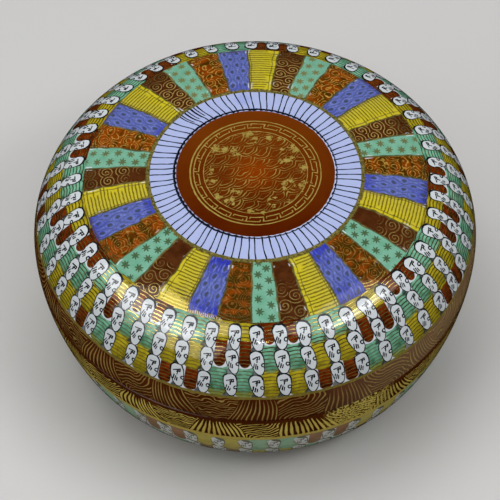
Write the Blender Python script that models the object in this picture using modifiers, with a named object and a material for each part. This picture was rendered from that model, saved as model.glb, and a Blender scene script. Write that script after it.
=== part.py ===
"""Porcelain bonbonniere: a low, round covered box of two turned pieces, a bowl-shaped base and a lid."""

import math

import bpy
from mathutils import Vector
from mathutils.geometry import interpolate_bezier

# Driving dimensions, in metres and degrees

BELLY_RADIUS = 0.0750  # the widest circle, near the rims
BELLY_HEIGHT = 0.0486  # of that circle, above the table
CROWN_RISE = 0.0319  # of the lid's crown, above the widest circle
SHOULDER_INSET = 0.0115  # of the lid's shoulder, in from the widest circle
SHOULDER_RISE = 0.0232  # of the lid's shoulder, above the widest circle
SHOULDER_ANGLE = 50.0  # the shoulder faces this far above the horizontal
FLANK_INSET = 0.0078  # of the base's flank, in from the widest circle
FLANK_DROP = 0.0349  # of the base's flank, below the widest circle
FLANK_ANGLE = 25.0  # the flank faces this far below the horizontal
SEAM_DROP = 0.0045  # of the joint between the rims, below the widest circle

WALL = 0.0036  # of both pieces
FLOOR = 0.0042  # thickness of the base inside its foot ring
FOOT_RADIUS = 0.0520  # outer radius of the foot ring
FOOT_WIDTH = 0.0040
FOOT_HEIGHT = 0.0026
FOOT_ANGLE = 72.0  # the bowl faces this far below the horizontal where it meets the foot

FLANGE_HEIGHT = 0.0060  # the flange stands this far above the base's rim
FLANGE_THICKNESS = 0.0026
FLANGE_CLEARANCE = 0.0008  # between the flange and the lid's inner wall
FLANGE_ROOT = 0.0090  # the flange's inner face runs this far down before the bowl widens under it
RIM_GAP = 0.0003  # the lid rests this far above the base's rim
EDGE_ROUND = 0.0006  # rounding of the rims and of the foot

# Fullness of the curved stretches, as a share of the straight distance between their ends

CROWN_FULLNESS = (0.213, 0.216)
SHOULDER_FULLNESS = (0.301, 0.346)
FLANK_FULLNESS = (0.270, 0.295)
UNDER_FULLNESS = (0.425, 0.425)

# How finely the curves and the turning are divided

CROWN_STEPS = 9
SHOULDER_STEPS = 6
FLANK_STEPS = 5
UNDER_STEPS = 6
TURN_STEPS = 64
MERGE_DISTANCE = 0.00001

SEAM_HEIGHT = BELLY_HEIGHT - SEAM_DROP
GLAZE_COLOUR = (0.86, 0.87, 0.90, 1.0)


def downhill(angle):
    """The direction in which an outline runs where its surface faces this far above the horizontal."""
    return Vector((math.sin(math.radians(angle)), 0.0, -math.cos(math.radians(angle))))


def curve(start, start_angle, end, end_angle, fullness, steps):
    """A smooth stretch of outline between two points, leaving and arriving in the given facing angles."""
    reach = (end - start).length
    first = start + downhill(start_angle) * reach * fullness[0]
    second = end - downhill(end_angle) * reach * fullness[1]
    return interpolate_bezier(start, first, second, end, steps + 1)


def lid_outline():
    """The outside of the lid, from the crown down to the widest circle."""
    crown = Vector((0.0, 0.0, BELLY_HEIGHT + CROWN_RISE))
    shoulder = Vector((BELLY_RADIUS - SHOULDER_INSET, 0.0, BELLY_HEIGHT + SHOULDER_RISE))
    belly = Vector((BELLY_RADIUS, 0.0, BELLY_HEIGHT))
    top = curve(crown, 90.0, shoulder, SHOULDER_ANGLE, CROWN_FULLNESS, CROWN_STEPS)
    side = curve(shoulder, SHOULDER_ANGLE, belly, 0.0, SHOULDER_FULLNESS, SHOULDER_STEPS)
    return top + side[1:]


def base_outline():
    """The outside of the bowl, from the widest circle down to the top of the foot ring."""
    belly = Vector((BELLY_RADIUS, 0.0, BELLY_HEIGHT))
    flank = Vector((BELLY_RADIUS - FLANK_INSET, 0.0, BELLY_HEIGHT - FLANK_DROP))
    foot = Vector((FOOT_RADIUS, 0.0, FOOT_HEIGHT))
    side = curve(belly, 0.0, flank, -FLANK_ANGLE, FLANK_FULLNESS, FLANK_STEPS)
    under = curve(flank, -FLANK_ANGLE, foot, -FOOT_ANGLE, UNDER_FULLNESS, UNDER_STEPS)
    return side + under[1:]


def radius_at(outline, height):
    """The outline's radius at a height, between its points."""
    for upper, lower in zip(outline, outline[1:]):
        if upper.z >= height >= lower.z and upper.z > lower.z:
            return upper.x + (lower.x - upper.x) * (upper.z - height) / (upper.z - lower.z)
    raise ValueError("the outline does not reach this height")


def inset(outline, thickness):
    """The same outline moved into the wall, square to its surface."""
    moved = []
    for index, point in enumerate(outline):
        before = outline[max(index - 1, 0)]
        after = outline[min(index + 1, len(outline) - 1)]
        run = (after - before).normalized()
        moved.append(point + Vector((run.z, 0.0, -run.x)) * thickness)
    return moved


def lid_wall():
    """The lid's outer and inner outlines, each from the crown down to the height of the widest circle."""
    outer = lid_outline()
    inner = inset(outer, WALL)
    inner[0].x = 0.0
    inner[-1] = Vector((BELLY_RADIUS - WALL, 0.0, BELLY_HEIGHT))
    return outer, inner


def lid_profile():
    """The lid's whole section, down its outside and back up its inside."""
    outer, inner = lid_wall()
    rim = radius_at(base_outline(), SEAM_HEIGHT)
    inner_rim = BELLY_RADIUS - WALL
    edge = [
        Vector((rim, 0.0, SEAM_HEIGHT + EDGE_ROUND)),
        Vector((rim - EDGE_ROUND, 0.0, SEAM_HEIGHT)),
        Vector((inner_rim + EDGE_ROUND, 0.0, SEAM_HEIGHT)),
        Vector((inner_rim, 0.0, SEAM_HEIGHT + EDGE_ROUND)),
    ]
    return outer + edge + inner[::-1]


def flange_radius():
    """The flange's outer radius: it clears the lid's inner wall over its whole height."""
    outer, inner = lid_wall()
    flange_top = SEAM_HEIGHT - RIM_GAP + FLANGE_HEIGHT
    narrowest = BELLY_RADIUS - WALL
    if flange_top > BELLY_HEIGHT:
        narrowest = min(narrowest, radius_at(inner, flange_top))
    return narrowest - FLANGE_CLEARANCE


def base_profile():
    """The base's whole section: out over its floor, up its inside, over its rim, and down its outside."""
    rim_height = SEAM_HEIGHT - RIM_GAP
    flange_top = rim_height + FLANGE_HEIGHT
    flange_outer = flange_radius()
    flange_inner = flange_outer - FLANGE_THICKNESS
    root_height = rim_height - FLANGE_ROOT
    floor_height = FOOT_HEIGHT + FLOOR
    foot_inner = FOOT_RADIUS - FOOT_WIDTH
    outer = base_outline()
    rim = radius_at(outer, rim_height)
    floor_radius = min(FOOT_RADIUS, radius_at(outer, floor_height) - WALL)

    floor = [Vector((0.0, 0.0, floor_height)), Vector((floor_radius, 0.0, floor_height))]
    inside = [
        point
        for point in reversed(inset(outer, WALL))
        if floor_height + WALL / 2 < point.z < root_height - WALL and point.x > floor_radius
    ]
    flange = [
        Vector((flange_inner, 0.0, root_height)),
        Vector((flange_inner, 0.0, flange_top - EDGE_ROUND)),
        Vector((flange_inner + EDGE_ROUND, 0.0, flange_top)),
        Vector((flange_outer - EDGE_ROUND, 0.0, flange_top)),
        Vector((flange_outer, 0.0, flange_top - EDGE_ROUND)),
        Vector((flange_outer, 0.0, rim_height)),
    ]
    edge = [Vector((rim - EDGE_ROUND, 0.0, rim_height)), Vector((rim, 0.0, rim_height - EDGE_ROUND))]
    bowl = [point for point in outer if point.z < rim_height - 2 * EDGE_ROUND]
    foot = [
        Vector((FOOT_RADIUS, 0.0, EDGE_ROUND)),
        Vector((FOOT_RADIUS - EDGE_ROUND, 0.0, 0.0)),
        Vector((foot_inner + EDGE_ROUND, 0.0, 0.0)),
        Vector((foot_inner, 0.0, EDGE_ROUND)),
        Vector((foot_inner, 0.0, FOOT_HEIGHT)),
        Vector((0.0, 0.0, FOOT_HEIGHT)),
    ]
    return floor + inside + flange + edge + bowl + foot


def glaze(name, colour, roughness):
    """Glazed porcelain, in the colour that is over most of the piece."""
    material = bpy.data.materials.new(name)
    material.use_nodes = True
    material.diffuse_color = colour
    shader = material.node_tree.nodes["Principled BSDF"]
    shader.inputs["Base Color"].default_value = colour
    shader.inputs["Roughness"].default_value = roughness
    shader.inputs["Metallic"].default_value = 0.0
    return material


def turned(name, profile, material, collection):
    """A piece turned round the upright axis from its section, which starts and ends on that axis."""
    mesh = bpy.data.meshes.new(name)
    edges = [(index, index + 1) for index in range(len(profile) - 1)]
    mesh.from_pydata(profile, edges, [])
    piece = bpy.data.objects.new(name, mesh)
    piece.data.materials.append(material)
    collection.objects.link(piece)
    screw = piece.modifiers.new("turning", "SCREW")
    screw.axis = "Z"
    screw.steps = TURN_STEPS
    screw.render_steps = TURN_STEPS
    screw.use_merge_vertices = True
    screw.merge_threshold = MERGE_DISTANCE
    screw.use_smooth_shade = True
    return piece


def build():
    for old in list(bpy.data.objects):
        bpy.data.objects.remove(old, do_unlink=True)
    collection = bpy.data.collections.new("porcelain_bonbonniere")
    bpy.context.scene.collection.children.link(collection)
    lid_glaze = glaze("lid_glaze", GLAZE_COLOUR, 0.12)
    base_glaze = glaze("base_glaze", GLAZE_COLOUR, 0.14)
    turned("lid", lid_profile(), lid_glaze, collection)
    turned("base", base_profile(), base_glaze, collection)


build()
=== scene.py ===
"""A round porcelain sweet box: a bowl on a foot ring under a domed lid, painted over the glaze and gilded."""

import math

import bmesh
import bpy
from mathutils import Matrix, Vector
from mathutils.geometry import interpolate_bezier


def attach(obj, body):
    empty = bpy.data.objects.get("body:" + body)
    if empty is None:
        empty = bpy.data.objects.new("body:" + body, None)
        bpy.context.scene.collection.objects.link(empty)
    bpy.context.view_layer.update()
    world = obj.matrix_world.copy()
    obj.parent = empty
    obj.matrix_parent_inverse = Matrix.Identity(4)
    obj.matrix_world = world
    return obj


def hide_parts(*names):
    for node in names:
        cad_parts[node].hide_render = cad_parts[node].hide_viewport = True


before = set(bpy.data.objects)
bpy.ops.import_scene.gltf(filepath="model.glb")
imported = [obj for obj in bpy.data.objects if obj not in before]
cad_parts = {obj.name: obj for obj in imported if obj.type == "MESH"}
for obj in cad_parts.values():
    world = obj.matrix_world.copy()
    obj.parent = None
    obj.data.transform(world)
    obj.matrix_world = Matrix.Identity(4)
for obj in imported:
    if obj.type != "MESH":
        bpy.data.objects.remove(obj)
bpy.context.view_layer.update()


# Camera
# A long lens looks down on the box from the front, with the box a little right of and above the picture's
# centre.

AIM = Vector((0.0, 0.0, 0.0486))
LOOK_DOWN = math.radians(53.32)
TILT = math.radians(0.387)
DISTANCE = 0.975

lens = bpy.data.cameras.new("camera")
lens.lens = 206.5
lens.sensor_width = 36.0
lens.shift_x = -0.0103
lens.shift_y = -0.0417
lens.clip_start = 0.01
camera = bpy.data.objects.new("camera", lens)
bpy.context.scene.collection.objects.link(camera)
away = Vector((0.0, -math.cos(LOOK_DOWN), math.sin(LOOK_DOWN)))
facing = away.to_track_quat("Z", "Y").to_matrix().to_4x4() @ Matrix.Rotation(TILT, 4, "Z")
camera.matrix_world = Matrix.Translation(AIM + away * DISTANCE) @ facing
bpy.context.scene.camera = camera


# Base
# The bowl, turned in white porcelain: a foot ring, a swelling side, and inside its rim an upright flange that
# keeps the lid in place. It is glazed all over but for the foot and the rim, then painted and gilded.

def at(radius, height):
    """A point of a section, this far from the axis and above the table."""
    return Vector((radius, 0.0, height))


BELLY = at(0.0750, 0.0486)
BELLY_WAY = 91.49  # millimetres from the lid's crown down to the widest circle
FLANK = at(0.0672, 0.0137)
FLANK_ANGLE = -25.0
FOOT = at(0.0520, 0.0026)
FOOT_ANGLE = -72.0
FOOT_WIDTH = 0.0040
SEAM_HEIGHT = 0.0441
SEAM_RADIUS = 0.0747
RIM_GAP = 0.0003
WALL = 0.0036
FLOOR_HEIGHT = 0.0068
FLANGE_OUTER = 0.0705
FLANGE_INNER = 0.0679
FLANGE_TOP = 0.0498
FLANGE_ROOT = 0.0348
EDGE_ROUND = 0.0007
ROUND_POINTS = 5
TURN_STEPS = 288
SHARP_ANGLE = math.radians(40.0)

# All painting ends before the first of these ways down, and other surfaces carry one of the rest.
PAINT_END = 200.0
FOOT_WAY = 300.0
INSIDE_WAY = 500.0
RIM_WAY = 600.0


def downhill(angle):
    """The way an outline runs where its surface faces this far above the horizontal."""
    return Vector((math.sin(math.radians(angle)), 0.0, -math.cos(math.radians(angle))))


def stretch(start, start_angle, end, end_angle, fullness, steps):
    """One smooth bow of an outline, by the way its surface faces at both ends and how full it is near each."""
    reach = (end - start).length
    first = start + downhill(start_angle) * reach * fullness[0]
    second = end - downhill(end_angle) * reach * fullness[1]
    return interpolate_bezier(start, first, second, end, steps + 1)


def inside_of(outline):
    """The same outline, one wall's thickness further in."""
    moved = []
    for index, point in enumerate(outline):
        run = (outline[min(index + 1, len(outline) - 1)] - outline[max(index - 1, 0)]).normalized()
        moved.append(point + Vector((run.z, 0.0, -run.x)) * WALL)
    return moved


def eased(corners):
    """An outline through these corners, with each one between the ends rounded off."""
    points = [corners[0]]
    for before, corner, after in zip(corners, corners[1:], corners[2:]):
        ease = min(EDGE_ROUND, (before - corner).length / 2.1, (after - corner).length / 2.1)
        start = corner + (before - corner).normalized() * ease
        end = corner + (after - corner).normalized() * ease
        first, second = start.lerp(corner, 0.55), end.lerp(corner, 0.55)
        points += interpolate_bezier(start, first, second, end, ROUND_POINTS)
    return points + [corners[-1]]


def measured(points, start):
    """Each point with its way down the outline, in millimetres."""
    ways = [start]
    for before, after in zip(points, points[1:]):
        ways.append(ways[-1] + (after - before).length * 1000.0)
    return list(zip(points, ways))


def turned(name, section, finishes):
    """A piece turned on the upright axis from its section. The finishes are pairs of a material and the way
    down to which it reaches."""
    shape = bmesh.new()
    layer = shape.verts.layers.float.new("way_down")
    line = []
    for point, way in section:
        if line and (line[-1].co - point).length < 1e-7:
            continue
        line.append(shape.verts.new(point))
        line[-1][layer] = way
        if len(line) > 1:
            shape.edges.new(line[-2:])
    bmesh.ops.spin(
        shape, geom=shape.verts[:] + shape.edges[:], cent=(0, 0, 0), axis=(0, 0, 1), angle=math.tau,
        steps=TURN_STEPS, use_merge=True, use_duplicate=False,
    )
    bmesh.ops.remove_doubles(shape, verts=shape.verts, dist=1e-7)
    bmesh.ops.recalc_face_normals(shape, faces=shape.faces)
    for face in shape.faces:
        face.smooth = True
        middle = sum(corner.vert[layer] for corner in face.loops) / len(face.loops)
        face.material_index = next(index for index, (_, reach) in enumerate(finishes) if middle < reach)
    mesh = bpy.data.meshes.new(name)
    shape.to_mesh(mesh)
    shape.free()
    mesh.set_sharp_from_angle(angle=SHARP_ANGLE)
    for material, _ in finishes:
        mesh.materials.append(material)
    piece = bpy.data.objects.new(name, mesh)
    bpy.context.scene.collection.objects.link(piece)
    return piece


# Painting is written as sums of amounts that change over the glaze, which become the nodes of its material.

def colour(red, green, blue):
    """A colour by its everyday values from 0 to 255."""
    shares = [value / 255.0 for value in (red, green, blue)]
    return tuple(s / 12.92 if s <= 0.04045 else ((s + 0.055) / 1.055) ** 2.4 for s in shares) + (1.0,)


def feed(slot, value):
    """Links a node's socket to an amount, or sets it to a number, place or colour."""
    if isinstance(value, Amount):
        value.socket.id_data.links.new(value.socket, slot)
    else:
        slot.default_value = value


class Amount:
    """A number, place or colour that changes over the glaze."""

    def __init__(self, socket):
        self.socket = socket

    def __add__(self, other):
        return sums("ADD", self, other)

    def __radd__(self, other):
        return sums("ADD", self, other)

    def __sub__(self, other):
        return sums("SUBTRACT", self, other)

    def __rsub__(self, other):
        return sums("SUBTRACT", other, self)

    def __mul__(self, other):
        return sums("MULTIPLY", self, other)

    def __truediv__(self, other):
        return sums("DIVIDE", self, other)

    def __abs__(self):
        return sums("ABSOLUTE", self)


def made(kind, *values, **settings):
    """A node with these settings in the material that the values belong to, fed with them in turn."""
    tree = next(value.socket.id_data for value in values if isinstance(value, Amount))
    node = tree.nodes.new("ShaderNode" + kind)
    for setting, choice in settings.items():
        setattr(node, setting, choice)
    for slot, value in zip(node.inputs, values):
        feed(slot, value)
    return node


def sums(operation, *values, clamp=False):
    """What comes of numbers. Clamped, it stays from 0 to 1."""
    return Amount(made("Math", *values, operation=operation, use_clamp=clamp).outputs[0])


def places(operation, *values):
    """What comes of places: another place, or a number for lengths, distances and dot products."""
    result = "Value" if operation in ("LENGTH", "DISTANCE", "DOT_PRODUCT") else "Vector"
    return Amount(made("VectorMath", *values, operation=operation).outputs[result])


def place(x, y, z=0.0):
    """A place by its three numbers."""
    return Amount(made("CombineXYZ", x, y, z).outputs[0])


def parts(spot):
    """The three numbers of a place."""
    return [Amount(output) for output in made("SeparateXYZ", spot).outputs]


def turned_by(spot, angle):
    """A place turned round the upright axis."""
    node = made("VectorRotate", spot, rotation_type="Z_AXIS")
    feed(node.inputs["Angle"], angle)
    return Amount(node.outputs[0])


def mottling(spot, size, detail, roughness=0.5):
    """Soft random patches of about this size in millimetres."""
    node = made("TexNoise", spot)
    node.inputs["Scale"].default_value = 1.0 / size
    node.inputs["Detail"].default_value = detail
    node.inputs["Roughness"].default_value = roughness
    return node


def cloud(spot, size, detail=1.0, roughness=0.5):
    """A random amount about 0, in patches."""
    return Amount(mottling(spot, size, detail, roughness).outputs["Fac"]) - 0.5


def drift(spot, size, reach):
    """A small random shift that changes over the glaze, so that what it moves is as uneven as handwork."""
    shift = Amount(mottling(spot, size, 1.0).outputs["Color"])
    return places("MULTIPLY_ADD", shift, (2.0 * reach,) * 3, (-reach,) * 3)


def dice(spot):
    """A random number from 0 to 1 for each whole place, whose last number tells one throw from another."""
    return Amount(made("TexWhiteNoise", spot).outputs["Value"])


def least(*values):
    """The smallest of several amounts."""
    result = values[0]
    for value in values[1:]:
        result = sums("MINIMUM", result, value)
    return result


def most(*values):
    """The largest of several amounts."""
    result = values[0]
    for value in values[1:]:
        result = sums("MAXIMUM", result, value)
    return result


def same(value, number):
    """1 where a whole amount is this number, else 0."""
    return sums("COMPARE", value, number, 0.3)


def wrapped(value, span):
    """The value brought between minus and plus half a span."""
    return sums("WRAP", value, span / 2.0, -span / 2.0)


def apart(value, span):
    """How far the value lies from the nearest whole number of spans."""
    return abs(wrapped(value, span))


def rising(value, slope, start):
    """A share from 0 to 1 that grows with the value at this slope."""
    return sums("MULTIPLY_ADD", value, slope, start, clamp=True)


def beyond(value, edge, soft=0.08):
    """0 below the edge, 1 above it."""
    if isinstance(edge, Amount):
        return rising(value - edge, 1.0 / soft, 0.5)
    return rising(value, 1.0 / soft, 0.5 - edge / soft)


def short_of(value, edge, soft=0.08):
    """1 below the edge, 0 above it."""
    return rising(value, -1.0 / soft, 0.5 + edge / soft)


def inked(distance, width, soft=0.08):
    """How far a brush line of this width covers a spot this far from its middle."""
    if isinstance(width, Amount):
        return rising(width * 0.5 - distance, 1.0 / soft, 0.5)
    return short_of(distance, width / 2.0, soft)


def between(value, low, high, soft=0.08):
    """1 between two edges, 0 outside them."""
    return inked(abs(value - (low + high) / 2.0), high - low, soft)


def dash(spot, start, end):
    """How far a spot lies from a straight stroke."""
    start, end = Vector(start).to_3d(), Vector(end).to_3d()
    run = end - start
    along = places("DOT_PRODUCT", spot, run / run.length_squared)
    share = sums("SUBTRACT", along, start.dot(run) / run.length_squared, clamp=True)
    return places("DISTANCE", places("MULTIPLY_ADD", share, run, start), spot)


def painted(under, cover, over):
    """One colour laid over another where the cover is 1."""
    node = made("Mix", cover, data_type="RGBA")
    feed(node.inputs[6], under)
    feed(node.inputs[7], over)
    return Amount(node.outputs[2])


DEGREE = math.radians(1.0)
GOLD = colour(232, 204, 112)
WHITE = colour(232, 233, 240)


class Finish:
    """A fired finish: where a spot lies on the piece in millimetres, its bearing round the axis in degrees,
    the millimetres that a degree takes there, its way down the outline, and the porcelain's shader."""

    def __init__(self, name):
        self.material = bpy.data.materials.new(name)
        self.material.use_nodes = True
        self.tree = self.material.node_tree
        self.shader = self.tree.nodes["Principled BSDF"]
        metres = Amount(self.tree.nodes.new("ShaderNodeTexCoord").outputs["Object"])
        self.spot = places("MULTIPLY", metres, (1000.0, 1000.0, 1000.0))
        self.x, self.y, _ = parts(self.spot)
        self.bearing = sums("ARCTAN2", self.y, self.x) * (1.0 / DEGREE)
        self.radius = places("LENGTH", place(self.x, self.y))
        self.per_degree = self.radius * DEGREE
        way = self.tree.nodes.new("ShaderNodeAttribute")
        way.attribute_name = "way_down"
        self.way = Amount(way.outputs["Fac"])

    def fire(self, enamel, gold=None, glint=None, metal=0.9, gloss=0.07, shine=0.5):
        """Lays the enamels, the gold and the glinting gold lines, and covers them with the glaze's ripple."""
        rough = cloud(self.spot, 2.6) * 0.06 + gloss
        if gold is not None:
            bright = gold * metal
            if glint is not None:
                gold = most(gold, glint)
                bright = most(bright, glint * 1.6)
            enamel = painted(enamel, gold, GOLD)
            feed(self.shader.inputs["Metallic"], least(bright, 1.0))
            rough = gold * 0.1 + rough
        feed(self.shader.inputs["Base Color"], enamel)
        feed(self.shader.inputs["Roughness"], rough)
        self.shader.inputs["IOR"].default_value = 1.52
        self.shader.inputs["Specular IOR Level"].default_value = shine
        bump = self.tree.nodes.new("ShaderNodeBump")
        bump.inputs["Strength"].default_value = 0.25
        bump.inputs["Distance"].default_value = 0.0002
        feed(bump.inputs["Height"], cloud(self.spot, 3.2, 2.0))
        self.tree.links.new(bump.outputs["Normal"], self.shader.inputs["Normal"])
        return self.material


INK = colour(24, 28, 30)
SHADE = colour(48, 54, 50)
SKIN = colour(215, 220, 226)
THIN_ROBES = colour(190, 172, 36), colour(142, 54, 6), colour(126, 188, 158)  # yellow, rust and green
THICK_ROBES = colour(112, 98, 14), colour(64, 18, 2), colour(44, 104, 72)
ROBE_RULING = 1.24
EAR = (1.6, 0.85, 0.0)
FACE = [  # brush strokes of brow, nose and beard, across and down from a head's middle
    ((-1.2, -1.75), (0.95, -2.15)),
    ((-0.2, -1.25), (0.95, -1.5)),
    ((0.25, -2.0), (-0.15, -0.3)),
    ((0.95, -2.15), (0.8, -1.2)),
    ((-1.6, 1.35), (-1.1, -0.1)),
    ((-1.0, 1.75), (-0.55, 0.35)),
    ((-0.4, 1.95), (-0.1, 0.9)),
]


def chosen(choice, first, second, third):
    """One of three colours by the number 0, 1 or 2."""
    return painted(painted(first, same(choice, 1.0), second), same(choice, 2.0), third)


def crowd(finish, column, spacing, top, pitch, rows, robe, robe_end, robe_pitch, ruled, hair=0.0):
    """Rows of brush-drawn heads, each hanging under the one above it in its column, and between the columns
    the robes, in lengths of yellow, rust and green with gold brush lines across them. Gives the enamels and
    the gold."""
    # Robes, thicker and darker towards their lower ends and sides
    stand = finish.per_degree * spacing
    gap = sums("FLOOR", column)
    aside = column - gap - 0.5
    reach = aside * stand
    hang = (finish.way - robe_end + reach * reach * 0.10 - dice(place(gap, 17.0)) * 0.9) / robe_pitch
    length = least(most(sums("FLOOR", hang) + 1.0, 0.0), rows - 1.0)
    drop = hang - length + 1.0
    choice = sums("FLOORED_MODULO", robe + length, 3.0)
    rust, green = same(choice, 1.0), same(choice, 2.0)
    lower = sums("GREATER_THAN", length, 0.5)
    wash = cloud(finish.spot, 2.2, 3.0) * 1.8 + drop * 0.5 + lower * 0.22 + rust * 0.35 + aside * aside * 2.2
    wash = wash + short_of(finish.way, top + 1.0, 1.5) * 0.35
    thick = sums("ADD", wash, -0.12, clamp=True)
    enamel = painted(chosen(choice, *THIN_ROBES), thick, chosen(choice, *THICK_ROBES))
    enamel = painted(enamel, green * beyond(drop, 0.93, 0.16) * 0.7, colour(146, 142, 34))

    # Lines across the robes, gold on a dark underline
    worn = cloud(finish.spot, 0.9) * 0.34
    fold = finish.way + cloud(finish.spot, 3.4) * 0.5 + dice(place(gap, length, 5.0)) * 1.3
    fold = apart(fold - abs(reach) * 0.12, ROBE_RULING)
    faint = beyond(finish.way, 69.0, 6.0) * short_of(finish.y, -45.0, 25.0)
    line = inked(fold, worn + 0.42, 0.16) * ruled
    enamel = painted(enamel, line * (0.92 - rust * 0.3 - faint * 0.4), colour(34, 40, 12))
    gold = inked(fold, worn + 0.2, 0.14) * ruled
    gold = gold * (1.0 - faint * 0.45) * rising(cloud(finish.spot, 2.6), 3.0, 0.75)

    # White left bare at the robes' sides, round the ends of the rust ones and under the lowest
    tail = most((drop - 0.74) * 4.6, 0.0)
    foot = most((finish.way - (top + rows * pitch - 1.1)) * 0.55, 0.0)
    bare = beyond(aside * aside * (rust * 8.0 + 8.5) + rust * tail * tail + foot * foot, 1.0, 0.2)
    bare = bare * sums("GREATER_THAN", finish.way, top + 0.6)
    enamel = painted(enamel, bare, SKIN)
    gold = gold * (1.0 - bare)

    # Heads, each with the shade under its chin
    number = sums("ROUND", column)
    down = finish.way - top - dice(place(number, 3.0)) * 0.5
    row = least(most(sums("FLOOR", down / pitch), 0.0), rows - 1.0)
    chance = dice(place(number, row, 7.0))
    upright = place((column - number) * stand + (chance - 0.5) * 0.5, down - row * pitch - pitch / 2.0)
    spot = turned_by(upright, dice(place(number, row, 11.0)) * 0.3 - 0.12)
    x, y, _ = parts(spot)
    wide = sums("MULTIPLY_ADD", y, -0.12, chance * 0.35 + 1.88)
    share = sums("POWER", abs(x - y * 0.07) / wide, 2.2) + sums("POWER", abs(y) / (pitch / 2.0 + 0.12), 2.8)
    outside = (sums("POWER", share, 0.42) - 1.0) * 2.1 + cloud(finish.spot, 1.4) * 0.3
    wedge = (y - (pitch / 2.0 - 3.1 + chance * 1.2)) * 1.3
    hollow = most(beyond(wedge, 0.4, 0.8), short_of(y, -3.2, 0.6) * sums("GREATER_THAN", row, 0.5))
    behind = inked(abs(x + 1.3), least(wedge, 2.6), 0.5) * hollow * beyond(outside, 0.1)
    enamel = painted(enamel, behind * (0.65 + chance * 0.35), SHADE)
    skin = short_of(outside, 0.0)
    enamel = painted(enamel, skin, painted(SKIN, cloud(finish.spot, 3.0, 2.0) + 0.4, colour(202, 209, 209)))

    # The brush lines of the heads, fuller over the crown
    cap = short_of(y, pitch * -0.30, 1.6) * sums("MULTIPLY_ADD", sums("LESS_THAN", row, 0.5), 0.14, 0.06)
    brow = cap * (x * (hair * 5.0 + 0.25) + (hair * 5.0 + 0.5))
    line = inked(abs(outside + brow * (hair * 0.5) - cap * 0.2), brow + (worn + 0.29))
    pen = places("ADD", spot, drift(finish.spot, 2.2, 0.34))
    marks = least(*[dash(pen, start, end) for start, end in FACE], abs(places("DISTANCE", pen, EAR) - 0.55))
    line = most(line, inked(marks, worn + 0.44) * skin)
    return painted(enamel, line, INK), gold * (1.0 - most(skin, behind, line))


FAN_STEP = 22.5  # degrees of a band for each fan with the grain beside it


def gilt_band(finish, middle, spacing, start_way, foot_way, bold):
    """Gilt brush lines: fans of tapering strokes, and between them nested arches and scribbles like the grain
    of wood."""
    worn = cloud(finish.spot, 1.1, 2.0) * 0.5
    bearing = finish.bearing + cloud(finish.spot, 24.0) * 8.0 - middle
    zone = sums("ROUND", bearing / FAN_STEP)
    aside = bearing - zone * FAN_STEP
    depth = (finish.way - start_way) / (foot_way - start_way)

    # Fans
    lean = (dice(place(zone, 1.0)) - 0.5) * 8.0
    spread = depth * (0.45 * spacing) + 0.77 * spacing
    stroke = (aside - lean * depth * depth) / spread + cloud(finish.spot, 5.0) * 0.16
    number = sums("ROUND", stroke)
    chance = dice(place(number, zone, 3.0))
    taper = (depth - chance * 0.35 - 0.38) * 2.0
    thick = (1.0 - taper * taper) * bold + worn * 0.8
    strokes = inked(abs(stroke - number) * (finish.per_degree * spacing), thick, 0.2)

    # Arches and grain
    half = sums("SIGN", aside)
    across = (aside - half * (FAN_STEP / 2.0)) * (finish.per_degree * 0.8)
    kind = dice(place(zone, half, 4.0))
    hanging = sums("GREATER_THAN", kind, 0.3)
    arch = places("LENGTH", place(across, (depth - hanging) * 11.0)) / 1.25 + cloud(finish.spot, 4.0) * 1.6
    grain = finish.way / 1.25 + cloud(places("MULTIPLY", finish.spot, (1.0, 1.0, 1.3)), 6.0, 2.0) * 4.5
    lines = arch + (grain - arch) * sums("GREATER_THAN", kind, 0.5)
    thin = inked(apart(lines, 1.0), worn * 0.8 + (bold * 0.35 + 0.06), 0.16)
    fan = sums("LESS_THAN", abs(number), 4.6 + chance * 1.1)
    return (thin + (strokes - thin) * fan) * rising(cloud(finish.spot, 12.0, 2.0), 2.4, 0.9)


def white_glaze(name):
    """Bare white porcelain under clear glaze."""
    finish = Finish(name)
    return finish.fire(painted(WHITE, cloud(finish.spot, 9.0, 2.0) + 0.5, colour(222, 225, 236)))


def bare_clay(name):
    """Unglazed rims and foot, a little soiled by use."""
    finish = Finish(name)
    tone = painted(colour(228, 224, 214), cloud(finish.spot, 1.2, 3.0) + 0.5, colour(200, 190, 172))
    return finish.fire(tone, gloss=0.55)


def line_round(finish, start, end):
    """A line painted round the piece by hand, between these ways down."""
    return between(finish.way + cloud(finish.spot, 4.0, 3.0) * 0.8, start, end, 0.2)


def rubbed(finish, line):
    """The gold of a line, worn away in small spots."""
    return line * (0.6 + cloud(finish.spot, 0.8, 2.0) * 1.6)


GILT = colour(158, 148, 50)


def base_gilding(name):
    """The base's half of the brown band, with bold gilt strokes, crowded specks and a gilt edge."""
    finish = Finish(name)
    enamel = painted(colour(92, 42, 14), cloud(finish.spot, 7.0, 3.0) + 0.45, colour(50, 20, 2))
    strokes = gilt_band(finish, middle=-99.0, spacing=1.15, start_way=96.4, foot_way=110.2, bold=0.76)
    strokes = strokes * beyond(finish.way, 97.85, 0.15)
    speck = beyond(cloud(finish.spot, 0.8, 2.0), 0.02, 0.1) * short_of(abs(finish.bearing + 62.0), 8.0, 5.0)
    edge = line_round(finish, 109.1, 130.0)
    gold = least(most(strokes, speck * 0.8, rubbed(finish, edge), 0.0), 1.0)
    enamel = painted(painted(enamel, gold, colour(204, 192, 84)), edge, GILT)
    return finish.fire(enamel, gold * 0.5, metal=0.1, shine=0.2)


BASE_STEP = 360.0 / 48.0  # degrees for each of the base's columns of heads


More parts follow.
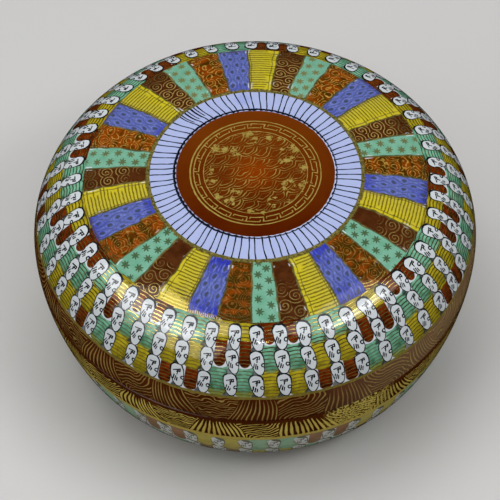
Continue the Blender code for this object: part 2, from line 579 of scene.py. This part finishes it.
def base_crowd(name):
    """The base's rows of heads, hazed by a painted reflection, from the gilt edge down to a gilt line near the
    foot.
    """
    finish = Finish(name)
    column = (finish.bearing + 129.5) / BASE_STEP
    pair = sums("FLOOR", (sums("FLOOR", column) + 1.0) / 2.0)
    robe = sums("FLOORED_MODULO", 2.0 - pair, 3.0)
    enamel, gold = crowd(
        finish, column, BASE_STEP, top=111.6, pitch=9.7, rows=3.0, robe=robe, robe_end=robe * 0.8 + 122.6,
        robe_pitch=9.7, ruled=0.25, hair=1.0,
    )
    edge = line_round(finish, 100.0, 111.2)
    foot_line = line_round(finish, 140.6, 142.0)
    below = beyond(finish.way, 141.0)
    # Painted reflection: a pale haze laid over the enamels, as the glaze would mirror the table
    enamel = painted(enamel, cloud(finish.spot, 6.0) * 0.3 + 0.32, colour(188, 182, 148))
    enamel = painted(painted(enamel, most(edge, foot_line), GILT), below * (1.0 - foot_line), WHITE)
    gold = most(gold * (1.0 - below), rubbed(finish, edge), foot_line)
    return finish.fire(enamel, gold, metal=0.3, shine=0.05)


side = stretch(BELLY, 0.0, FLANK, FLANK_ANGLE, (0.270, 0.295), 26)
side += stretch(FLANK, FLANK_ANGLE, FOOT, FOOT_ANGLE, (0.425, 0.425), 26)[1:]
outside = measured(side, BELLY_WAY)
rim_height = SEAM_HEIGHT - RIM_GAP
painted_side = [(point, way) for point, way in outside if point.z < rim_height - EDGE_ROUND]
floor = [at(0.0, FLOOR_HEIGHT), at(0.030, FLOOR_HEIGHT), at(FOOT.x, FLOOR_HEIGHT)]
bowl = [
    point for point in reversed(inside_of(side))
    if FLOOR_HEIGHT + 0.003 < point.z < FLANGE_ROOT - 0.003 and point.x > FOOT.x + 0.002
]
flange = eased([
    at(FLANGE_INNER, FLANGE_ROOT),
    at(FLANGE_INNER, FLANGE_TOP),
    at(FLANGE_OUTER, FLANGE_TOP),
    at(FLANGE_OUTER, FLANGE_TOP - 2 * EDGE_ROUND),
])
rim = eased([
    at(FLANGE_OUTER, FLANGE_TOP - EDGE_ROUND),
    at(FLANGE_OUTER, rim_height),
    at(SEAM_RADIUS, rim_height),
    painted_side[0][0],
])
foot_inner = FOOT.x - FOOT_WIDTH
foot = eased([FOOT, at(FOOT.x, 0.0), at(foot_inner, 0.0), at(foot_inner, FOOT.z)])
underside = [at(foot_inner - 0.0008, FOOT.z), at(0.020, FOOT.z), at(0.0, FOOT.z)]

section = [(point, INSIDE_WAY) for point in floor + bowl + flange[:-1]]
section += [(point, RIM_WAY) for point in rim[1:-ROUND_POINTS - 1]]
section += [(point, painted_side[0][1]) for point in rim[-ROUND_POINTS - 1:-1]]
section += painted_side
section += [(point, FOOT_WAY) for point in foot]
section += [(point, INSIDE_WAY) for point in underside]
base = turned("base_porcelain", section, [
    (base_gilding("base_gilding"), 109.7),
    (base_crowd("base_crowd"), PAINT_END),
    (bare_clay("base_foot"), INSIDE_WAY - 50.0),
    (white_glaze("base_inside"), INSIDE_WAY + 50.0),
    (bare_clay("base_rim"), RIM_WAY + 50.0),
])
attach(base, "root")
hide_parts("base")


# Lid
# A shallow dome turned in the same porcelain, which drops over the base's flange. From its middle outwards it
# is painted with a wave medallion, a pale collar, patterned panels, three rows of heads and a gilded band.

CROWN = at(0.0, 0.0805)
SHOULDER = at(0.0635, 0.0718)
SHOULDER_ANGLE = 50.0

FOAM = [  # places and sizes of the gold foam on the waves
    (-13.2, 9.5, 1.5), (-10.3, 9.4, 1.1), (-7.2, 9.0, 1.2), (-6.0, 7.4, 1.0), (-4.0, 16.0, 0.8),
    (-2.2, 15.9, 1.3), (-0.4, 14.2, 0.8), (-0.6, 12.4, 0.6), (4.6, 14.1, 0.9), (8.0, 14.0, 0.7),
    (13.2, 9.2, 1.3), (12.0, 11.0, 0.8), (8.8, 9.8, 0.6), (8.7, 4.6, 0.9), (10.6, 4.8, 1.1),
    (12.0, 6.1, 0.6), (16.0, 2.1, 1.1), (15.6, 0.3, 0.6), (16.2, -4.0, 0.6), (15.0, -5.6, 0.9),
    (12.8, -5.9, 0.6), (11.7, -3.6, 0.9), (9.4, -4.6, 0.8), (9.7, -6.7, 0.7), (-14.6, 0.8, 0.8),
    (-13.9, -4.1, 1.0), (-15.7, -3.8, 0.6), (-7.2, -8.0, 0.8), (-5.8, -8.9, 0.7), (-12.3, -10.4, 1.1),
    (-9.9, -12.1, 0.8), (-7.9, -11.8, 1.0), (-7.2, -13.4, 0.5), (4.4, -11.6, 0.5), (4.6, -13.0, 0.5),
    (6.0, -14.4, 0.7), (6.6, -10.9, 0.4), (-1.6, -16.5, 0.9), (2.6, -16.6, 0.8), (15.2, -8.0, 0.5),
    (11.4, -12.2, 0.6),
]
FRET_STEP = 360.0 / 22.0  # degrees for each key in the ring of fret
KEY = [  # strokes of one key, along the ring and out from the medallion's middle
    ((0.0, 18.8), (0.0, 20.5)),
    ((5.6, 18.8), (5.6, 20.5)),
    ((0.0, 20.5), (4.5, 20.5)),
    ((4.5, 20.5), (4.5, 19.9)),
    ((5.6, 18.8), (1.0, 18.8)),
    ((1.0, 18.8), (1.0, 19.4)),
]


def rust_ground(finish):
    """Rust enamel, brighter in the medallion's middle, and lighter towards the back with painted sheen."""
    # Painted sheen: the rust made lighter towards the back
    light = rising(finish.y, 0.016, cloud(finish.spot, 14.0, 3.0) * 0.7 + 0.42)
    ground = painted(colour(76, 22, 0), light, colour(118, 56, 10))
    return painted(ground, short_of(finish.radius, 6.0, 8.0) * 0.7, colour(138, 54, 0))


def medallion(name):
    """Gold waves and foam on rust, in a ring of key fret."""
    finish = Finish(name)
    enamel = rust_ground(finish)

    # Waves, as rows of nested arcs that each hide the lower part of the row behind
    row_step, half_width, bulge = 3.0, 2.4, 3.6
    spot = places("ADD", finish.spot, drift(finish.spot, 4.0, 1.1))
    across, along, _ = parts(turned_by(spot, math.radians(143.0)))
    row = sums("FLOOR", (along - bulge) / row_step) + 1.0
    down = along - row * row_step
    across = across * 0.7 - sums("FLOORED_MODULO", row, 2.0) * half_width
    front = places("LENGTH", place(wrapped(across, 2.0 * half_width), down))
    back = places("LENGTH", place(wrapped(across + half_width, 2.0 * half_width), down - row_step))
    ring = back + (front - back) * sums("LESS_THAN", front, bulge)
    worn = cloud(finish.spot, 2.4, 3.0)
    gold = inked(apart(ring - bulge, 0.92), worn * 0.8 + 0.17, 0.12) * beyond(ring, 1.2, 0.3)
    gold = gold * rising(cloud(finish.spot, 5.0, 2.0), 1.8, 0.6) * short_of(finish.radius, 16.9, 0.3)

    # Foam
    flat = place(finish.x, finish.y)
    foam = least(*[places("DISTANCE", flat, (x, y, 0.0)) - size for x, y, size in FOAM])
    gold = most(gold, beyond(cloud(finish.spot, 1.1, 3.0, 0.75) * 5.2 - foam, 0.15, 0.3))

    # Key fret between lines
    out = finish.radius + cloud(finish.spot, 3.0) * 0.3
    key = place(sums("FRACT", finish.bearing / FRET_STEP) * (finish.per_degree * FRET_STEP), out)
    key_lines = inked(least(*[dash(key, start, end) for start, end in KEY]), worn * 0.3 + 0.28, 0.14)
    left = short_of(finish.x, -6.0, 16.0)
    outer = inked(abs(out - 21.7), left * 0.2 + 0.3, 0.14)
    top = inked(abs(out - 20.5), 0.34, 0.14) * left
    inner = inked(abs(out - 17.2), worn * 0.5 + 0.22, 0.14)
    gold = most(gold, key_lines, outer, top, inner)

    enamel = painted(enamel, gold, colour(120, 102, 30))
    gold = gold * rising(cloud(finish.spot, 2.0, 3.0), 2.2, 0.62) * 0.62
    return finish.fire(enamel, gold, metal=0.55, shine=0.3)


OLIVE = colour(112, 106, 52)
RULING = 360.0 / 81.0  # degrees between the collar's lines


def mottled_olive(finish):
    """The olive enamel of the ring between the collar and the panels."""
    return painted(OLIVE, cloud(finish.spot, 0.8, 2.0) * 4.0 + 0.55, colour(56, 56, 24))


def collar(name):
    """A pale blue collar, ruled across in black with a brush."""
    finish = Finish(name)
    enamel = painted(colour(167, 179, 222), cloud(finish.spot, 7.0, 3.0) + 0.45, colour(179, 190, 229))
    patch = places("DISTANCE", finish.spot, (-4.5, 31.5, 79.5))
    enamel = painted(enamel, short_of(patch, 2.6, 2.0) * 0.4, colour(134, 149, 216))

    # Lines across, which curl aside at their inner ends, and finer ones between them at one place at the back
    share = (finish.radius - 26.4) / 9.4
    hook = beyond(places("DOT_PRODUCT", finish.spot, (-0.016, 0.026, 0.0)), 0.72, 0.3)
    curl = (1.0 - share) * (1.0 - share) * (hook * 3.6 + 1.1)
    reach = finish.bearing + curl + cloud(finish.spot, 9.0) * 2.4
    line = sums("ROUND", reach / RULING)
    jitter = (dice(place(line, 2.0)) - 0.5) * 1.3
    away = abs(reach - line * RULING - jitter) * finish.per_degree
    width = abs(share - 0.5) * 0.34 + 0.36 + cloud(finish.spot, 1.2) * 0.26
    ends = beyond(finish.radius + dice(place(line, 9.0)) * 1.2, 27.0, 0.3)
    extra = apart(reach + 2.0, RULING / 2.0) * finish.per_degree
    crowded = short_of(apart(finish.bearing - 130.0, 360.0), 6.0, 0.5) * beyond(share, 0.35, 0.1)
    lines = most(inked(away, width, 0.12) * ends, inked(extra, width, 0.12) * crowded)

    # Inner line, beaded and narrower at the right, with a little white and the rust within it
    wobble = cloud(finish.spot, 1.7, 2.0)
    edge = finish.radius + wobble * 0.5
    right = beyond(places("DOT_PRODUCT", finish.spot, (0.035, -0.02, 0.0)), 0.35, 0.6)
    bead = apart(reach - jitter, RULING) * 0.22
    width = (1.0 - right) * 0.4 + 0.6 - bead * 0.4 + wobble * 0.8
    lines = most(lines, inked(abs(edge - bead * 0.5 - 26.85), width, 0.2))
    enamel = painted(enamel, lines, colour(20, 23, 36))
    slit = short_of(edge, 26.5, 0.12) * rising(right, 0.5, 0.02)
    enamel = painted(enamel, slit, colour(226, 222, 230))
    enamel = painted(enamel, short_of(edge, 26.35, 0.15), rust_ground(finish))

    # Olive ring round it
    olive = beyond(edge, 35.05, 0.15)
    enamel = painted(enamel, olive, mottled_olive(finish))
    return finish.fire(enamel, olive * (0.08 + cloud(finish.spot, 0.9, 2.0)))


LID_COLUMNS = 52.0
LID_STEP = 360.0 / LID_COLUMNS  # degrees for each of the lid's columns of heads


def lid_robe(finish):
    """The lid's columns of heads, counted in decimals, and the robe that each gap between two starts with."""
    turn = finish.bearing * DEGREE
    column = (finish.bearing + 174.2) / LID_STEP - 0.306 - sums("COSINE", turn) * 0.276
    column = column + sums("COSINE", turn * 2.0 + math.radians(33.4)) * 0.0635
    column = column + sums("COSINE", turn * 3.0 - math.radians(118.8)) * 0.0685
    gap = sums("FLOOR", column)
    gap = gap + sums("LESS_THAN", gap, 5.0) * LID_COLUMNS
    return column, sums("FLOORED_MODULO", sums("FLOOR", gap / 2.0) - 5.0, 3.0)


PANEL_EDGES = [0.0, 11.1, 21.9, 32.4, 42.2]  # degrees, in each of seven like groups of five
GROUP = 360.0 / 7.0


def panels(name):
    """Patterned panels between brushed olive and gold lines: yellow, blue, rust, green and plum."""
    finish = Finish(name)
    way = finish.way
    mm = finish.per_degree
    bearing = finish.bearing + 72.3 + cloud(finish.spot, 6.0, 2.0) * 2.2
    group = sums("FLOOR", bearing / GROUP)
    turn = bearing - group * GROUP
    blue_on, rust_on, green_on, plum_on = [beyond(turn, edge, 0.05) for edge in PANEL_EDGES[1:]]
    patches = cloud(finish.spot, 3.0, 3.0)
    fine = cloud(finish.spot, 0.8, 2.0)
    left = short_of(finish.x, -4.0, 10.0)
    back = beyond(finish.y, 10.0, 40.0)
    front = short_of(finish.y, -30.0, 25.0)

    # Yellow, with short brush lines across that glint in front at the left
    ruling = 1.18
    across = turn * mm
    along = way + cloud(finish.spot, 3.0) * 0.5 + across * 0.03
    start = sums("POWER", dice(place(sums("ROUND", along / ruling), group, 1.0)), 2.0) * 3.6
    rules = inked(apart(along, ruling), fine * 0.7 + 0.46, 0.3) * beyond(across, start, 0.8)
    enamel = painted(colour(206, 190, 30), rising(turn, 0.06, patches + 0.15), colour(188, 174, 66))
    enamel = painted(enamel, rules * 0.9, colour(98, 86, 14))
    glint = rules * beyond(way + patches * 8.0, 52.5, 3.0) * left * short_of(finish.y, -22.0, 14.0)
    glint = glint * (1.0 - blue_on)

    # Blue, with rows of eyes in a net of wavy lines
    row_step, eye_step = 6.8, 3.9
    across = (turn - PANEL_EDGES[1]) * mm
    far = rising(abs(way - 47.5), 0.13, patches * 1.4 - 0.55 - back * 0.5 + front * 0.3)
    ground = painted(colour(98, 110, 188), far, colour(44, 52, 186))
    streak = beyond(cloud(places("MULTIPLY", place(across, way), (1.0, 0.25, 1.0)), 0.8), 0.1, 0.2)
    ground = painted(ground, streak * 0.6, colour(130, 142, 212))
    x = wrapped(across + cloud(finish.spot, 2.2) * 0.9, eye_step)
    y = way + dice(place(group, 3.0)) * row_step + cloud(finish.spot, 1.6) * 0.9
    even = place(wrapped(x + eye_step / 2.0, eye_step) / 0.62, wrapped(y, row_step) / 0.98)
    odd = place(x / 0.62, wrapped(y + row_step / 2.0, row_step) / 0.98)
    eye = least(places("LENGTH", even), places("LENGTH", odd))
    net = abs(abs(x) - eye_step / 4.0 + sums("COSINE", y * (math.tau / row_step)) * 0.62)
    lines = most(inked(net, fine * 1.2 + 0.36, 0.3) * 0.8, inked(eye, fine * 2.0 + 2.0, 0.6))
    lines = most(lines, inked(abs(eye - 1.9), 0.3, 0.3) * 0.5)
    enamel = painted(enamel, blue_on, painted(ground, lines * 0.85, colour(62, 68, 72)))

    # Rust, covered with fine gold arcs that end in a bow above the heads
    cell = 4.4
    cells = made("TexVoronoi", places("ADD", finish.spot, drift(finish.spot, 2.6, 1.0)))
    cells.inputs["Scale"].default_value = 1.0 / cell
    arcs = inked(apart(Amount(cells.outputs["Distance"]) * cell - 0.2, 0.86), fine * 0.7 + 0.09, 0.2)
    outward = turned_by(finish.spot, finish.bearing * -DEGREE)
    flame = cloud(places("MULTIPLY", outward, (1.0, 0.45, 1.0)), 1.3, 3.0)
    redder = back * 0.3 + short_of(finish.x, -20.0, 20.0) * 0.25
    ground = painted(colour(70, 44, 6), rising(patches + flame, 3.4, redder + 0.2), colour(138, 62, 9))
    # The arcs are gilt; their bright gold colour, laid stronger towards the back, is painted reflection
    ground = painted(ground, arcs * rising(finish.y, 0.014, 0.75 + patches), colour(204, 162, 66))
    enamel = painted(enamel, rust_on, ground)
    across = (turn - 27.1) * mm
    bow = way + across * across * 0.05
    gold = arcs * sums("MULTIPLY_ADD", way, 0.012, -0.4) * sums("LESS_THAN", bow, 56.0) * rust_on
    bows = inked(apart(bow - 56.2, 1.1), fine * 0.5 + 0.2, 0.2) * beyond(bow, 55.7, 0.1)
    glint = most(glint, bows * rust_on)

    # Green, with two columns of stars
    star_step, rays = 4.4, 7.0
    across = turn - PANEL_EDGES[3]
    second = beyond(across, 4.9, 0.02)
    along = way + second * (star_step / 2.0) + dice(place(group, 5.0)) * star_step
    row = sums("ROUND", along / star_step)
    chance = dice(place(row, group, second))
    x = (across - 2.9 - second * 4.1) * mm + (chance - 0.5) * 0.5
    y = along - row * star_step
    ray = apart(sums("ARCTAN2", y, x) + chance * 3.0, math.tau / rays) / (math.pi / rays)
    tip = (1.0 - ray) * 0.95 + 0.6 + fine * 0.3
    star = beyond(tip - places("LENGTH", place(x, y)), 0.0, 0.2)
    ground = painted(colour(123, 178, 153), rising(patches, 1.8, 0.2), colour(88, 152, 120))
    ground = painted(ground, star * 0.9, painted(colour(66, 84, 50), back * 0.8, colour(126, 118, 62)))
    enamel = painted(enamel, green_on, ground)
    gold = gold * (1.0 - green_on)
    glint = glint * (1.0 - green_on)

    # Plum, with two columns of gold scrolls that fade towards the middle, but not at the back
    scroll_step, column_width, band = 5.8, 4.6, 1.15
    across = turn - PANEL_EDGES[4]
    second = beyond(across, column_width, 0.02)
    x = (across - column_width / 2.0 - second * column_width) * mm
    y = wrapped(way + second * (scroll_step / 2.0) + dice(place(group, 8.0)) * scroll_step, scroll_step)
    curl = places("LENGTH", place(x, y)) + fine * 0.3
    spiral = apart(curl - sums("ARCTAN2", y, x) * (band / math.tau), band)
    scroll = inked(spiral, fine * 0.3 + 0.19, 0.2) * short_of(curl, 2.8, 0.2)
    scroll = scroll * rising(way, 0.07, patches * 1.6 - 3.1 + back * 1.7)
    ground = painted(colour(86, 46, 20), rising(patches, 2.0, 0.4), colour(56, 24, 6))
    enamel = painted(enamel, plum_on, painted(ground, scroll, colour(190, 162, 92)))
    gold = gold + (scroll * 0.3 - gold) * plum_on
    glint = most(glint * (1.0 - plum_on), scroll * beyond(way, 52.0, 6.0) * plum_on)

    # Lines between the panels, with white left bare beside them here and there
    brush = fine * 0.7 + cloud(finish.spot, 4.0) * 0.6
    nearest = least(*[abs(turn - edge) for edge in PANEL_EDGES + [GROUP]]) * mm
    stripes = inked(least(abs(turn - 10.2), abs(turn - 1.7)) * mm, brush * 0.6 + 0.3, 0.2)
    lines = most(inked(nearest, brush + 0.64, 0.25), stripes * 0.9)
    tone = painted(colour(92, 88, 42), patches * 2.0 + 0.6, colour(40, 43, 32))
    enamel = painted(enamel, lines * 0.92, tone)
    gold = most(gold, lines * (0.06 + patches * 1.5))
    white = beyond(cloud(finish.spot, 3.6, 2.0), 0.09, 0.05) * short_of(abs(nearest - 0.6), 0.2, 0.2)
    white = white * beyond(abs(way - 46.5), 6.5, 3.0) * 0.65
    enamel = painted(enamel, white, WHITE)
    ring = short_of(way - fine * 1.8, 36.4, 0.2)
    enamel = painted(enamel, ring, mottled_olive(finish))
    gold = most(gold * (1.0 - white) * (1.0 - ring), ring * 0.08)

    # Ticks across the blue panels' lower ends, gilded at the left
    ticks = inked(apart(bearing * mm + fine * 0.4, 0.72), 0.3, 0.2)
    ticks = ticks * between(way + patches * 2.5, 56.6, 58.2, 0.3)
    ticks = ticks * between(turn, PANEL_EDGES[1], PANEL_EDGES[2], 0.3)
    enamel = painted(enamel, ticks, colour(56, 54, 62))
    glint = most(glint, ticks * left * 0.8)

    # Robes that show below the panels
    _, robe = lid_robe(finish)
    below = beyond(way + cloud(finish.spot, 2.2, 2.0) * 1.6, 58.0, 0.15)
    enamel = painted(enamel, below, chosen(robe, *THIN_ROBES))
    return finish.fire(enamel, least(most(gold, 0.0), 1.0), glint, metal=0.8)


def worn_gilt(finish):
    """The gilt edge between the lid's heads and its band, worn down to brown."""
    return painted(colour(120, 106, 34), cloud(finish.spot, 1.0, 3.0) * 2.0 + 0.5, colour(70, 58, 12))


def lid_crowd(name):
    """The lid's three rows of heads, in strong enamels."""
    finish = Finish(name)
    column, robe = lid_robe(finish)
    enamel, gold = crowd(
        finish, column, LID_STEP, top=58.5, pitch=8.15, rows=3.0, robe=robe, robe_end=robe * 1.25 + 64.0,
        robe_pitch=9.0, ruled=1.0,
    )
    edge = line_round(finish, 83.3, 90.0)
    return finish.fire(painted(enamel, edge, worn_gilt(finish)), edge * 0.15, gold * (1.0 - edge))


def lid_gilding(name):
    """The lid's half of the brown band, with fine gilt strokes, and painted reflection paling it at the right.
    """
    finish = Finish(name)
    enamel = painted(colour(94, 44, 16), cloud(finish.spot, 7.0, 3.0) + 0.45, colour(54, 20, 4))
    # Painted reflection: the brown made paler towards the right
    enamel = painted(enamel, beyond(finish.x, 38.0, 40.0) * 0.4, colour(160, 134, 104))
    strokes = gilt_band(finish, middle=-89.0, spacing=1.02, start_way=84.0, foot_way=96.0, bold=0.4)
    strokes = strokes * short_of(finish.way, 95.05, 0.15)
    edge = line_round(finish, 80.0, 84.3)
    gold = most(strokes * 0.52 * (1.0 - edge), edge * 0.15)
    return finish.fire(painted(enamel, edge, worn_gilt(finish)), gold, metal=0.4, shine=0.2)


top_side = stretch(CROWN, 90.0, SHOULDER, SHOULDER_ANGLE, (0.213, 0.216), 48)
top_side += stretch(SHOULDER, SHOULDER_ANGLE, BELLY, 0.0, (0.301, 0.346), 32)[1:]
edge_side = [(point, way) for point, way in outside[1:] if point.z > SEAM_HEIGHT + EDGE_ROUND]
inner_rim = BELLY.x - WALL
lid_rim = eased([
    edge_side[-1][0],
    at(SEAM_RADIUS, SEAM_HEIGHT),
    at(inner_rim, SEAM_HEIGHT),
    at(inner_rim, BELLY.z - 0.001),
])
dome = list(reversed(inside_of(top_side)))
dome[0].x, dome[-1].x = inner_rim, 0.0

section = measured(top_side, 0.0) + edge_side
section += [(point, edge_side[-1][1]) for point in lid_rim[1:ROUND_POINTS + 1]]
section += [(point, RIM_WAY) for point in lid_rim[ROUND_POINTS + 1:]]
section += [(point, INSIDE_WAY) for point in dome]
lid = turned("lid_porcelain", section, [
    (medallion("wave_medallion"), 25.6),
    (collar("ruled_collar"), 35.8),
    (panels("patterned_panels"), 58.15),
    (lid_crowd("lid_crowd"), 84.1),
    (lid_gilding("lid_gilding"), PAINT_END),
    (white_glaze("lid_inside"), INSIDE_WAY + 50.0),
    (bare_clay("lid_rim"), RIM_WAY + 50.0),
])
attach(lid, "root")
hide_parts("lid")


# Floor and light
# A plain pale table under soft studio lamps: one overhead that lights the table, larger and smaller ones at the
# left and the right that the glaze mirrors, a small one for the bright spot in front, and the room's own light.

table = bmesh.new()
bmesh.ops.create_grid(table, x_segments=8, y_segments=8, size=3.0)
table_mesh = bpy.data.meshes.new("table")
table.to_mesh(table_mesh)
table.free()
floor_piece = bpy.data.objects.new("table", table_mesh)
bpy.context.scene.collection.objects.link(floor_piece)
pale = bpy.data.materials.new("pale_table")
pale.use_nodes = True
pale_shader = pale.node_tree.nodes["Principled BSDF"]
pale_shader.inputs["Base Color"].default_value = colour(206, 205, 204)
pale_shader.inputs["Roughness"].default_value = 0.6
table_mesh.materials.append(pale)
floor_piece.visible_glossy = False


def softbox(name, bearing, height, distance, size, power):
    """A flat lamp aimed at the box from this bearing and angle above the table, in degrees, at this distance
    and of this size in metres, with its power in watts."""
    light = bpy.data.lights.new(name, "AREA")
    light.shape = "RECTANGLE"
    light.size, light.size_y = size
    light.energy = power
    lamp = bpy.data.objects.new(name, light)
    bpy.context.scene.collection.objects.link(lamp)
    side, up = math.radians(bearing), math.radians(height)
    aim = Vector((math.cos(side) * math.cos(up), math.sin(side) * math.cos(up), math.sin(up)))
    facing = aim.to_track_quat("Z", "Y").to_matrix().to_4x4()
    lamp.matrix_world = Matrix.Translation(AIM + aim * distance) @ facing
    return lamp


softbox("ceiling_lamp", 110.0, 74.0, 1.4, (1.20, 1.00), 10.5).visible_glossy = False
softbox("left_lamp", -150.0, 53.0, 1.2, (0.80, 1.20), 5.4)
softbox("left_flash", -154.0, 49.0, 1.1, (1.00, 0.40), 5.0).visible_diffuse = False
softbox("left_glow", -134.0, 30.0, 1.2, (1.10, 0.50), 3.0).visible_diffuse = False
softbox("right_lamp", -25.0, 60.0, 1.2, (0.80, 0.70), 3.0)
softbox("right_flash", -25.0, 54.0, 1.1, (0.50, 0.18), 1.8)
softbox("spot_lamp", -87.0, 50.0, 1.0, (0.03, 0.03), 0.2)

room = bpy.data.worlds.new("room")
room.use_nodes = True
room.node_tree.nodes["Background"].inputs["Color"].default_value = colour(232, 233, 236)
room.node_tree.nodes["Background"].inputs["Strength"].default_value = 0.09
bpy.context.scene.world = room
room.cycles_visibility.glossy = False
bpy.context.scene.view_settings.view_transform = "Standard"
